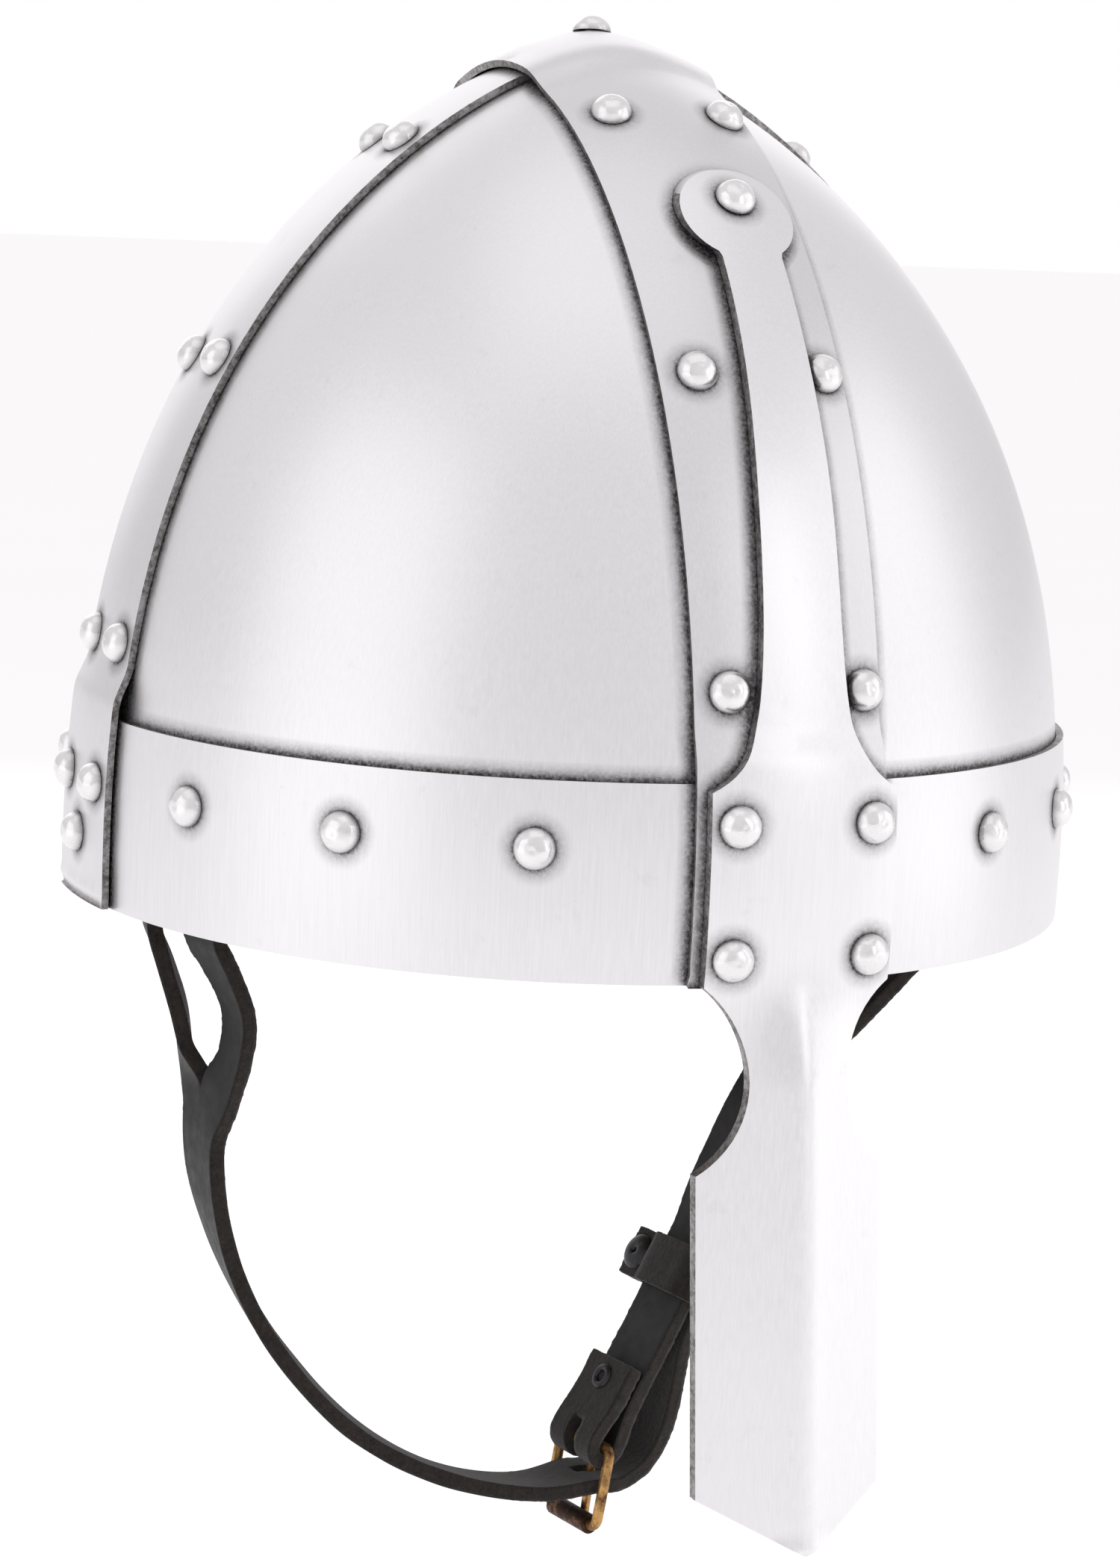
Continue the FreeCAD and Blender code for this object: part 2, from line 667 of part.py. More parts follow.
# ---------------------------------------------------------------- assembly
def rib_rivets(rivets):
    for rear in (-1, 1):
        name = "rivets_rear_rib" if rear > 0 else "rivets_front_rib"
        for z, spread in MAIN_PAIRS:
            for side in (-1, 1):
                turn = turn_at(side * spread, z, rear, True)
                rivets.add(name, main_surface, side * spread, turn, ON_DOME + SHEET, UNDER_PANEL)
        for level, (z, spread) in enumerate(BAND_PAIRS):
            lined = level == 0
            top = ON_LAYER + SHEET if rear > 0 else ON_TWO + NASAL_SHEET
            bottom = UNDER_LINER if lined else ON_DOME
            group = name if rear > 0 else "rivets_nasal"
            for side in (-1, 1):
                turn = turn_at(side * spread, z, rear, True)
                rivets.add(group, main_surface, side * spread, turn, top, bottom, lined)
    for side, name in ((-1, "rivets_right_rib"), (1, "rivets_left_rib")):
        for z, spread in SIDE_PAIRS:
            for way in (-1, 1):
                y = SIDE_RIB_CENTRE + way * spread
                turn = turn_at(y, z, side, False)
                rivets.add(name, side_surface, y, turn, ON_DOME + SHEET, UNDER_PANEL)
        z, spread = SIDE_BAND_PAIR
        for way in (-1, 1):
            y = SIDE_RIB_CENTRE + way * spread
            under = UNDER_TAIL if way < 0 else UNDER_LINER
            turn = turn_at(y, z, side, False)
            rivets.add(name, side_surface, y, turn, ON_LAYER + SHEET, under, True)
        turn = turn_at(SIDE_RIB_CENTRE, SIDE_LOW_RIVET, side, False)
        rivets.add(name, side_surface, SIDE_RIB_CENTRE, turn, ON_LAYER + SHEET, ON_DOME)


def band_rivets(rivets):
    for side in (-1, 1):
        for index, degrees in enumerate(BAND_RIVET_ANGLES):
            under = UNDER_TAIL if index == 0 else UNDER_LINER
            for rear in (False, True):
                angle = math.radians(180 - degrees if rear else degrees)
                level = UNDER_LINER if rear else under
                rivets.add("rivets_band", wall, side * angle, BAND_RIVET_HEIGHT,
                           ON_DOME + SHEET, level, True)


def nasal_top_rivet(rivets):
    z = NASAL_DISC[0]
    x = NASAL_SET * smooth((z - 45) / 100)
    turn = turn_at(x, z, -1, True)
    rivets.add("rivets_nasal", main_surface, x, turn, ON_LAYER + NASAL_SHEET, UNDER_PANEL)


def crown_rivet(rivets):
    across, turn = CROWN_RIVET
    rivets.add("rivet_crown", main_surface, across, turn, ON_LAYER + SHEET, ON_DOME - 0.2)


def build():
    rivets = Rivets()
    rib_rivets(rivets)
    band_rivets(rivets)
    nasal_top_rivet(rivets)
    crown_rivet(rivets)

    parts = {}
    for side, hand in ((1, "right"), (-1, "left")):
        parts["dome_panel_front_" + hand] = rivets.drill(dome_panel(side, False))
        parts["dome_panel_rear_" + hand] = rivets.drill(dome_panel(side, True))
    parts["brow_band"] = rivets.drill(brow_band())
    main = rib(main_surface, main_level, MAIN_RIB_CENTRE, MAIN_RIB_HALF, True)
    parts["main_rib"] = rivets.drill(main)
    cross = rib(side_surface, side_level, SIDE_RIB_CENTRE, SIDE_RIB_HALF, False)
    parts["cross_rib"] = rivets.drill(cross)
    parts["nasal_guard"] = rivets.drill(nasal_guard())
    parts["liner_band"] = rivets.drill(liner_band())
    for index in range(TONGUES):
        parts["liner_tongue_%d" % (index + 1)] = tongue(index)
    parts["liner_crown_ring"] = crown_pad()

    side_turn = math.degrees(math.asin(0.09))
    for side, hand in ((1, "right"), (-1, "left")):
        end = TAIL_END[hand]
        front = (BAND_RIVET_ANGLES[0], BAND_RIVET_HEIGHT), (BAND_RIVET_ANGLES[0], end)
        rear = (90 - side_turn, SIDE_BAND_PAIR[0]), (90 - side_turn * 2.2, end)
        parts["strap_anchor_front_" + hand] = rivets.drill(fixed_tail(side, *front))
        parts["strap_anchor_rear_" + hand] = rivets.drill(fixed_tail(side, *rear))
    for name, group in rivets.groups.items():
        parts[name] = Part.makeCompound(group)
    parts["washers"] = Part.makeCompound(rivets.washers)

    parts["strap_long"] = long_strap()
    parts["strap_buckle_side"] = buckle_strap()
    parts["strap_fork_right"] = fork_tails(RIGHT_FRONT_TAIL, RIGHT_REAR_TAIL)
    parts["strap_fork_left"] = fork_tails(LEFT_FRONT_TAIL, LEFT_REAR_TAIL)
    down, off = frame_axes()
    parts["buckle_frame"] = in_frame(buckle_frame(), down, off)
    parts["buckle_prong"] = in_frame(prong(), down, off)
    parts["buckle_roller"] = in_frame(roller(), down, off)
    parts["strap_keeper"] = keeper()
    parts["keeper_stud"] = stud(KEEPER_AT, STUD_AT, KEEPER_GRIP, STUD, STUD_POST)
    parts["flap_rivet"] = stud(FLAP_RIVET_AT, 0.0, FLAP_GRIP, FLAP_RIVET, STUD_POST)
    return parts


def export(parts):
    os.makedirs("parts", exist_ok=True)
    for name, shape in parts.items():
        shape.exportStep("parts/%s.step" % name)
        box = shape.BoundBox
        print("%-24s solids %2d valid %s volume %9.1f  x %6.1f %6.1f  y %6.1f %6.1f  z %6.1f %6.1f" % (
            name, len(shape.Solids), shape.isValid(), shape.Volume,
            box.XMin, box.XMax, box.YMin, box.YMax, box.ZMin, box.ZMax))


export(build())
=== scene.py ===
import json
import math

import bmesh
import bpy
from mathutils import Matrix, Vector, noise
from mathutils.bvhtree import BVHTree


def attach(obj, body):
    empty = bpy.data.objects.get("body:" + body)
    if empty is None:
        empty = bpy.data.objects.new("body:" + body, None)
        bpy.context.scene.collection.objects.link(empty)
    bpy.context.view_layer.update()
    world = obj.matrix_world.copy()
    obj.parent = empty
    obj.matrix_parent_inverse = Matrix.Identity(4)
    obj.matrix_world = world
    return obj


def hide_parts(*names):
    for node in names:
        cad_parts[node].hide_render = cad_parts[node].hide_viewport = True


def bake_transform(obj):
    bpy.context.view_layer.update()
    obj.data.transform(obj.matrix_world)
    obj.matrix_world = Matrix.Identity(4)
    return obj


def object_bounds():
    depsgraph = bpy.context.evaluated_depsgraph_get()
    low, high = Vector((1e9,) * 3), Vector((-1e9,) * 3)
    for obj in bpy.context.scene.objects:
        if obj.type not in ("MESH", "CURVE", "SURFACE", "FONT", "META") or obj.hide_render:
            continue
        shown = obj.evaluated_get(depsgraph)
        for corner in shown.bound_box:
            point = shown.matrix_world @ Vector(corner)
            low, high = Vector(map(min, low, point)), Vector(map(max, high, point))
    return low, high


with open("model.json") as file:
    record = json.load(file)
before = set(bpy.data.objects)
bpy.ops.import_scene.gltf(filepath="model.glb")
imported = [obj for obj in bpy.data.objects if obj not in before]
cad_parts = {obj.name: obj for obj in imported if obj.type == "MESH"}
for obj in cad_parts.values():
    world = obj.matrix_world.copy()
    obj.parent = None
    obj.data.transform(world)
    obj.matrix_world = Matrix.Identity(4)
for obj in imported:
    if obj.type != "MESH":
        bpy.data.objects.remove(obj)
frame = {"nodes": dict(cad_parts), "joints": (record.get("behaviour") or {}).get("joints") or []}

CAD_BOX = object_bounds()
NODES = frame["nodes"]
JOINTS = {joint["name"]: joint for joint in frame["joints"]}
MM = 0.001
UP_Z = Vector((0, 0, 1))

# ---------------------------------------------------------------- dimensions, in millimetres
HALF_WIDTH = 105.2
HALF_LENGTH = 110.4
DOME_HEIGHT = 178.6
SIDE_CURVE = (2.556, 1.437)
LONG_CURVE = (2.238, 1.615)
LEAN = (-12.0, 10.6)

STRAP = 3.2                     # thickness of the chin strap
STRAP_HALF = 7.5
FRONT_TAIL_HALF = 4.9
REAR_TAIL_HALF = 3.8
FORK_ROWS = 34                  # rows of faces along the two tails
FORK_CLOSING = 4                # the slit closes over this many of them
TAIL_DEPTH = 5.2                # from the dome's outer face to the middle of an anchored tail
FRONT_TAIL_ANGLE = 68.3         # from the brow, where the front tails are riveted
REAR_TAIL_ANGLES = (84.8, 81.5, 78.6, 77.5)
RIGHT, LEFT = 1, -1             # the wearer's sides
ANCHOR_HEIGHTS = {RIGHT: (33.0, 25.0, 15.0, 6.5), LEFT: (33.0, 27.0, 21.0, 16.0)}

KEEPER_LEATHER = 1.7
KEEPER_HALF = 5.5
KEEPER_AT = 40.5                # heights along the buckle strap, from the bar
FLAP_RIVET_AT = 13.0
STUD_AT = 15.2                  # across the strap, from its middle
FREE_LEVEL = 5.7                # the free end lies this far out from the buckle strap's plane

BAR = Vector(JOINTS["buckle_swing"]["pos_m"]) / MM
ROLLER = Vector(JOINTS["roller_spin"]["pos_m"]) / MM
UP = Vector(JOINTS["keeper_slide"]["axis"]).normalized()
ACROSS = Vector(JOINTS["buckle_swing"]["axis"]).normalized()
ACROSS = ACROSS if ACROSS.y > 0 else -ACROSS      # towards the back of the head
OUT = ACROSS.cross(UP).normalized()
DOWN = (ROLLER - BAR).normalized()
OFF = (OUT - DOWN * OUT.dot(DOWN)).normalized()


# ---------------------------------------------------------------- the dome
def share(z):
    return min(max(z / DOME_HEIGHT, 0.0), 1.0)


def wall(angle, z, depth=0.0):
    """Dome surface in mm: angle in degrees from the brow, positive to the wearer's right."""
    turn = math.radians(angle)
    wide = HALF_WIDTH * (1 - share(z) ** SIDE_CURVE[0]) ** (1 / SIDE_CURVE[1])
    long = HALF_LENGTH * (1 - share(z) ** LONG_CURVE[0]) ** (1 / LONG_CURVE[1])
    lean = LEAN[0] * share(z) + LEAN[1] * share(z) ** 2
    outwards = Vector((-math.sin(turn) / wide, -math.cos(turn) / long, 0)).normalized()
    return Vector((-wide * math.sin(turn), lean - long * math.cos(turn), z)) - outwards * depth


def strap_point(height, out, width=0.0):
    """Point in mm in the buckle strap's own frame, measured from the buckle's bar."""
    return BAR + UP * height + OUT * out + ACROSS * width


# ---------------------------------------------------------------- small tools
def smooth(value):
    t = min(max(value, 0.0), 1.0)
    return t * t * (3 - 2 * t)


def linked(name, mesh):
    piece = bpy.data.objects.new(name, mesh)
    bpy.context.scene.collection.objects.link(piece)
    return piece


def settled(piece):
    """Apply the modifiers, so that the mesh is final."""
    graph = bpy.context.evaluated_depsgraph_get()
    mesh = bpy.data.meshes.new_from_object(piece.evaluated_get(graph), depsgraph=graph)
    piece.modifiers.clear()
    piece.data = mesh
    return piece


def smooth_shaded(piece):
    for polygon in piece.data.polygons:
        polygon.use_smooth = True
    return piece


def spline(stations, spacing):
    """Smooth curve through stations of (point, across, half width), sampled evenly."""
    rows = [list(p) + list(a) + [half] for p, a, half in stations]
    first = [2 * a - b for a, b in zip(rows[0], rows[1])]
    last = [2 * a - b for a, b in zip(rows[-1], rows[-2])]
    rows = [first] + rows + [last]
    fine = []
    for i in range(1, len(rows) - 2):
        quad = rows[i - 1:i + 3]
        knots = [0.0]
        for a, b in zip(quad, quad[1:]):
            knots.append(knots[-1] + max(math.dist(a[:3], b[:3]), 1e-6) ** 0.5)
        parts = max(int(math.dist(quad[1][:3], quad[2][:3]) / spacing * 4), 4)
        for step in range(parts):
            t = knots[1] + (knots[2] - knots[1]) * step / parts
            fine.append(catmull(quad, knots, t))
    fine.append(rows[-2])
    return evenly(fine, spacing)


def catmull(quad, knots, t):
    """Point at t on a Catmull-Rom piece, by repeated linear mixing (Barry and Goldman)."""
    level = quad
    for pairs in (((0, 1), (1, 2), (2, 3)), ((0, 2), (1, 3)), ((1, 2),)):
        following = []
        for first, last, (low, high) in zip(level, level[1:], pairs):
            part = (t - knots[low]) / (knots[high] - knots[low])
            following.append([a + (b - a) * part for a, b in zip(first, last)])
        level = following
    return level[0]


def evenly(fine, spacing):
    lengths = [0.0]
    for a, b in zip(fine, fine[1:]):
        lengths.append(lengths[-1] + math.dist(a[:3], b[:3]))
    count = max(round(lengths[-1] / spacing), 2)
    rows = []
    index = 0
    for k in range(count + 1):
        goal = lengths[-1] * k / count
        while index < len(fine) - 2 and lengths[index + 1] < goal:
            index += 1
        span = max(lengths[index + 1] - lengths[index], 1e-9)
        part = (goal - lengths[index]) / span
        mixed = [a + (b - a) * part for a, b in zip(fine[index], fine[index + 1])]
        rows.append((Vector(mixed[:3]), Vector(mixed[3:6]), mixed[6]))
    return rows


def squared_up(rows):
    """Make each row's width direction unit long and square to the route."""
    result = []
    for k, (centre, across, half) in enumerate(rows):
        along = rows[min(k + 1, len(rows) - 1)][0] - rows[max(k - 1, 0)][0]
        along.normalize()
        across = (across - along * across.dot(along)).normalized()
        result.append((centre, across, half))
    return result


COLUMNS = (-1.0, -0.9, -0.58, -0.26, 0.26, 0.58, 0.9, 1.0)


def ribbon_grid(rows, columns=COLUMNS):
    return [[centre + across * (half * u) for u in columns] for centre, across, half in rows]


# ---------------------------------------------------------------- leather sheets
def leather_sheet(name, grids, thickness, materials, levels=2, skip=None, fuzz=0.16):
    """Leather cut from flat hide: grids of points in mm become one welded, thick mesh.

    The materials are the grain side, the flesh side and the cut edge, in this order.
    """
    bm = bmesh.new()
    for grid in grids:
        verts = [[bm.verts.new(point * MM) for point in row] for row in grid]
        for i in range(len(verts) - 1):
            for j in range(len(verts[0]) - 1):
                corners = verts[i][j], verts[i][j + 1], verts[i + 1][j + 1], verts[i + 1][j]
                middle = sum((v.co for v in corners), Vector()) / 4 / MM
                if skip and skip(middle):
                    continue
                bm.faces.new(corners)
    bmesh.ops.remove_doubles(bm, verts=bm.verts, dist=0.02 * MM)
    bmesh.ops.delete(bm, geom=[v for v in bm.verts if not v.link_faces], context="VERTS")
    mesh = bpy.data.meshes.new(name)
    bm.to_mesh(mesh)
    bm.free()
    piece = linked(name, mesh)
    for material in materials:
        mesh.materials.append(material)
    solid = piece.modifiers.new("thickness", "SOLIDIFY")
    solid.thickness = thickness * MM
    solid.offset = 0
    solid.use_even_offset = True
    solid.material_offset = 1
    solid.material_offset_rim = 2
    solid.edge_crease_inner = 0.7
    solid.edge_crease_outer = 0.7
    soft = piece.modifiers.new("soft", "SUBSURF")
    soft.levels = levels
    soft.render_levels = levels
    settled(piece)
    roughen_edges(piece.data, fuzz)
    return smooth_shaded(piece)


def places_of(mesh):
    """Positions and normals of a mesh's vertices, read once before anything moves."""
    return ([vertex.co.copy() for vertex in mesh.vertices],
            [normal.vector.copy() for normal in mesh.vertex_normals])


def moved_to(mesh, places):
    mesh.vertices.foreach_set("co", [value for place in places for value in place])
    mesh.update()


def roughen_edges(mesh, fuzz):
    """Uneven knife-cut rims, and faint waves in the faces."""
    rim = set()
    for polygon in mesh.polygons:
        if polygon.material_index == 2:
            rim.update(polygon.vertices)
    places, normals = places_of(mesh)
    for index, (here, normal) in enumerate(zip(places, normals)):
        place = here / MM
        lift = noise.noise(place * 0.11) * 0.12
        if index in rim:
            lift += noise.noise(place * 0.9) * fuzz + noise.noise(place * 2.3) * fuzz * 0.8
        here += normal * (lift * MM)
    moved_to(mesh, places)


# ---------------------------------------------------------------- material nodes
class Shader:
    """A material and the few node calls that the materials below share."""

    def __init__(self, name):
        self.material = bpy.data.materials.new(name)
        self.material.use_nodes = True
        self.tree = self.material.node_tree
        self.surface = self.tree.nodes["Principled BSDF"]
        self.place = self.node("ShaderNodeTexCoord").outputs["Object"]

    def node(self, kind, inputs=None, **settings):
        node = self.tree.nodes.new(kind)
        for key, value in settings.items():
            setattr(node, key, value)
        for key, value in (inputs or {}).items():
            self.feed(node.inputs[key], value)
        return node

    def feed(self, socket, value):
        if isinstance(value, bpy.types.NodeSocket):
            self.tree.links.new(value, socket)
        else:
            socket.default_value = value

    def scaled(self, scale):
        return self.node("ShaderNodeMapping", {"Vector": self.place, "Scale": scale}).outputs[0]

    def noise(self, scale, detail=3.0, rough=0.55, at=None):
        inputs = {"Vector": at or self.place, "Scale": scale, "Detail": detail, "Roughness": rough}
        return self.node("ShaderNodeTexNoise", inputs).outputs["Fac"]

    def cells(self, scale, feature="F1", at=None):
        inputs = {"Vector": at or self.place, "Scale": scale}
        return self.node("ShaderNodeTexVoronoi", inputs, feature=feature).outputs["Distance"]

    def ranged(self, value, low, high, to_low=0.0, to_high=1.0):
        inputs = {"Value": value, "From Min": low, "From Max": high,
                  "To Min": to_low, "To Max": to_high}
        return self.node("ShaderNodeMapRange", inputs).outputs[0]

    def maths(self, operation, first, second):
        node = self.node("ShaderNodeMath", operation=operation)
        self.feed(node.inputs[0], first)
        self.feed(node.inputs[1], second)
        return node.outputs[0]

    def mixed(self, share_in, first, second, blend="MIX"):
        node = self.node("ShaderNodeMix", data_type="RGBA", blend_type=blend)
        self.feed(node.inputs[0], share_in)
        self.feed(node.inputs[6], first)
        self.feed(node.inputs[7], second)
        return node.outputs[2]

    # ambient occlusion, used to darken crevices with patina and painted shade
    def crevice_shade(self, reach):
        inputs = {"Distance": reach * MM}
        return self.node("ShaderNodeAmbientOcclusion", inputs, samples=6).outputs["AO"]

    def bumped(self, height, strength, depth, under=None):
        inputs = {"Height": height, "Strength": strength, "Distance": depth * MM}
        if under is not None:
            inputs["Normal"] = under
        return self.node("ShaderNodeBump", inputs).outputs[0]

    def finish(self, **values):
        for key, value in values.items():
            self.feed(self.surface.inputs[key.replace("_", " ")], value)
        return self.material


def grey(value, tint=0.0):
    return (value * (1 + tint * 0.3), value * (1 - tint * 0.4), value * (1 + tint), 1)


def steel(name, tone, roughness, reach=3.6, edge=(0.975, 0.72), cloud=0.05):
    """Satin steel with fine upright brushing, and dark patina with painted shade in the crevices.
    """
    s = Shader(name)
    brush = s.noise(1.0, 5, 0.7, s.scaled((2600, 2600, 60)))
    fine = s.noise(1.0, 3, 0.6, s.scaled((7000, 7000, 300)))
    clouds = s.noise(14.0, 4, 0.6)
    specks = s.noise(1400.0, 3, 0.7)
    smear = s.noise(160.0, 4, 0.65)
    # occlusion darkens the seams and the rivets' feet: patina and painted shade
    open_air = s.crevice_shade(reach)
    broken = s.maths("ADD", open_air, s.ranged(smear, 0.3, 0.7, -0.035, 0.035))
    shade = s.ranged(broken, edge[0], edge[1])
    shade = s.maths("MULTIPLY", shade, s.ranged(specks, 0.3, 0.6, 0.62, 1.0))
    base = s.mixed(clouds, grey(tone - cloud, 0.02), grey(tone + cloud, 0.008))
    base = s.mixed(s.ranged(brush, 0.3, 0.7), base, grey(tone + 0.07, 0.01))
    dots = s.ranged(s.noise(420.0, 2, 0.5), 0.77, 0.82)
    base = s.mixed(s.maths("MULTIPLY", dots, 0.16), base, (0.2, 0.18, 0.17, 1))
    # dark mix in the crevices: patina and painted shade
    base = s.mixed(shade, base, (0.045, 0.038, 0.040, 1))
    rough = s.maths("ADD", s.ranged(brush, 0.2, 0.8, roughness - 0.07, roughness + 0.07),
                    s.maths("MULTIPLY", shade, 0.25))
    dent = s.bumped(s.noise(30.0, 2, 0.5), 0.25, 0.6)
    normal = s.bumped(fine, 0.25, 0.012, s.bumped(brush, 0.3, 0.02, dent))
    return s.finish(Base_Color=base, Metallic=1.0, Roughness=rough, Normal=normal)


def cut_steel(name):
    """Sheared edges of the sheets: rough, half covered with dark patina."""
    s = Shader(name)
    specks = s.noise(900.0, 4, 0.75)
    runs = s.noise(120.0, 3, 0.6)
    shade = s.ranged(s.maths("ADD", specks, s.maths("MULTIPLY", runs, 0.4)), 0.55, 0.85)
    base = s.mixed(shade, grey(0.45, 0.0), (0.12, 0.10, 0.095, 1))
    normal = s.bumped(specks, 0.6, 0.12)
    return s.finish(Base_Color=base, Metallic=1.0, Roughness=0.48, Normal=normal)


def rivet_steel():
    """Soft bright rivets, each head marked a little by the hammer, and darkened near the sheet by
    patina and painted shade.
    """
    s = Shader("rivet_bright")
    marks = s.cells(330.0)
    fine = s.noise(1500.0, 3, 0.6)
    # occlusion round the rivet's foot: patina and painted shade
    shade = s.ranged(s.crevice_shade(3.0), 0.95, 0.5)
    base = s.mixed(s.noise(260.0, 3, 0.6), grey(0.74), grey(0.93))
    # dark ring round the foot: patina and painted shade
    base = s.mixed(s.maths("MULTIPLY", shade, 0.85), base, (0.08, 0.07, 0.07, 1))
    rough = s.ranged(fine, 0.3, 0.7, 0.20, 0.34)
    normal = s.bumped(fine, 0.3, 0.03, s.bumped(marks, 0.5, 0.5))
    return s.finish(Base_Color=base, Metallic=1.0, Roughness=rough, Normal=normal)


def black_grain(name, tone=0.010):
    """Smooth dyed grain side: dark grey, with fine pores and long soft creases."""
    s = Shader(name)
    pores = s.cells(1500.0)
    creases = s.noise(260.0, 5, 0.6, s.scaled((1, 1, 0.45)))
    scuffs = s.ranged(s.noise(90.0, 4, 0.65), 0.52, 0.75)
    base = s.mixed(s.noise(45.0, 3, 0.5), grey(tone, 0.03), grey(tone * 1.7, 0.03))
    base = s.mixed(s.maths("MULTIPLY", scuffs, 0.4), base, grey(tone * 3.2, 0.02))
    rough = s.ranged(s.noise(300.0, 3, 0.6), 0.3, 0.7, 0.46, 0.62)
    normal = s.bumped(pores, 0.3, 0.05, s.bumped(creases, 0.4, 0.12))
    return s.finish(Base_Color=base, Roughness=rough, Normal=normal, Specular_IOR_Level=0.28)


def raw_leather(name, dark, light):
    """Cut edges and flesh side: matt fibres, from black to brown."""
    s = Shader(name)
    fibres = s.noise(1300.0, 6, 0.78)
    tufts = s.noise(420.0, 5, 0.7)
    base = s.mixed(s.ranged(s.maths("ADD", fibres, s.maths("MULTIPLY", tufts, 0.6)), 0.62, 1.02),
                   dark, light)
    normal = s.bumped(fibres, 0.9, 0.28, s.bumped(tufts, 0.7, 0.35))
    return s.finish(Base_Color=base, Roughness=0.93, Normal=normal, Specular_IOR_Level=0.2,
                    Sheen_Weight=0.25, Sheen_Roughness=0.5)


def brown_grain():
    """Liner leather: vegetable tanned, mottled, darker where it is handled."""
    s = Shader("liner_grain")
    pores = s.cells(900.0)
    wrinkles = s.noise(140.0, 6, 0.62)
    base = s.mixed(s.noise(30.0, 4, 0.6), (0.125, 0.060, 0.028, 1), (0.27, 0.145, 0.07, 1))
    base = s.mixed(s.ranged(wrinkles, 0.55, 0.8), base, (0.07, 0.032, 0.016, 1))
    rough = s.ranged(s.noise(220.0, 3, 0.6), 0.3, 0.7, 0.5, 0.72)
    normal = s.bumped(pores, 0.45, 0.1, s.bumped(wrinkles, 0.55, 0.4))
    return s.finish(Base_Color=base, Roughness=rough, Normal=normal, Specular_IOR_Level=0.4)


def thread():
    s = Shader("waxed_thread")
    twist = s.noise(2600.0, 2, 0.5)
    base = s.mixed(twist, (0.42, 0.33, 0.20, 1), (0.62, 0.52, 0.36, 1))
    return s.finish(Base_Color=base, Roughness=0.7, Normal=s.bumped(twist, 0.6, 0.1))


def aged_brass(name, bright, dark, low, high):
    """Antique brass: dark brown skin, rubbed through to yellow metal."""
    s = Shader(name)
    patches = s.noise(240.0, 5, 0.68)
    specks = s.noise(1500.0, 3, 0.7)
    rubbed = s.ranged(s.maths("ADD", patches, s.maths("MULTIPLY", specks, 0.25)), low, high)
    base = s.mixed(rubbed, dark, bright)
    rough = s.ranged(rubbed, 0.0, 1.0, 0.55, 0.3)
    normal = s.bumped(specks, 0.4, 0.05, s.bumped(patches, 0.3, 0.1))
    return s.finish(Base_Color=base, Metallic=0.9, Roughness=rough, Normal=normal)


def black_cap():
    """Press stud and eyelet: black coating with small rubs."""
    s = Shader("black_coating")
    rubs = s.ranged(s.noise(500.0, 5, 0.7), 0.58, 0.75)
    base = s.mixed(rubs, (0.022, 0.022, 0.025, 1), (0.11, 0.11, 0.12, 1))
    rough = s.ranged(s.noise(900.0, 3, 0.6), 0.3, 0.7, 0.3, 0.45)
    return s.finish(Base_Color=base, Metallic=0.4, Roughness=rough,
                    Normal=s.bumped(s.noise(700.0, 3, 0.6), 0.2, 0.05))


PANEL = steel("panel_brushed", 0.79, 0.37)
RIB = steel("rib_brushed", 0.71, 0.36)
BAND = steel("band_brushed", 0.77, 0.36)
NASAL = steel("nasal_brushed", 0.80, 0.34)
CUT = cut_steel("cut_edge_steel")
RIVET = rivet_steel()
WASHER = steel("washer_plain", 0.55, 0.45)
GRAIN = black_grain("strap_grain")
FLESH = raw_leather("strap_flesh", (0.006, 0.005, 0.005, 1), (0.026, 0.020, 0.017, 1))
EDGE = raw_leather("strap_cut_edge", (0.006, 0.005, 0.005, 1), (0.034, 0.025, 0.020, 1))
LINER_GRAIN = brown_grain()
THREAD = thread()
BRASS = aged_brass("buckle_brass", (0.52, 0.30, 0.11, 1), (0.09, 0.042, 0.02, 1), 0.5, 0.74)
BRONZE = aged_brass("roller_bronze", (0.30, 0.16, 0.075, 1), (0.045, 0.022, 0.014, 1), 0.62, 0.9)
BLACK = black_cap()


# ---------------------------------------------------------------- the steel shell
def finish_sheet(node, face):
    """Brushed faces, and a rougher material on the sheared edges."""
    mesh = NODES[node].data
    mesh.materials.clear()
    mesh.materials.append(face)
    mesh.materials.append(CUT)
    heart = Vector((0, 0, 0.25 * DOME_HEIGHT * MM))
    for polygon in mesh.polygons:
        away = polygon.center - heart
        if polygon.center.z < heart.z:
            away.z = 0
        along = abs(polygon.normal.dot(away.normalized()))
        polygon.material_index = 1 if along < 0.55 else 0


def finish_shell():
    for node in NODES:
        if node.startswith("dome_panel"):
            finish_sheet(node, PANEL)
    finish_sheet("brow_band", BAND)
    finish_sheet("main_rib", RIB)
    finish_sheet("cross_rib", RIB)
    finish_sheet("nasal_guard", NASAL)


def paint(node, material):
    mesh = NODES[node].data
    mesh.materials.clear()
    mesh.materials.append(material)


def finish_metal():
    for node in NODES:
        if node.startswith("rivet"):
            paint(node, RIVET)
    paint("washers", WASHER)
    paint("buckle_frame", BRASS)
    paint("buckle_prong", BRASS)
    paint("buckle_roller", BRONZE)


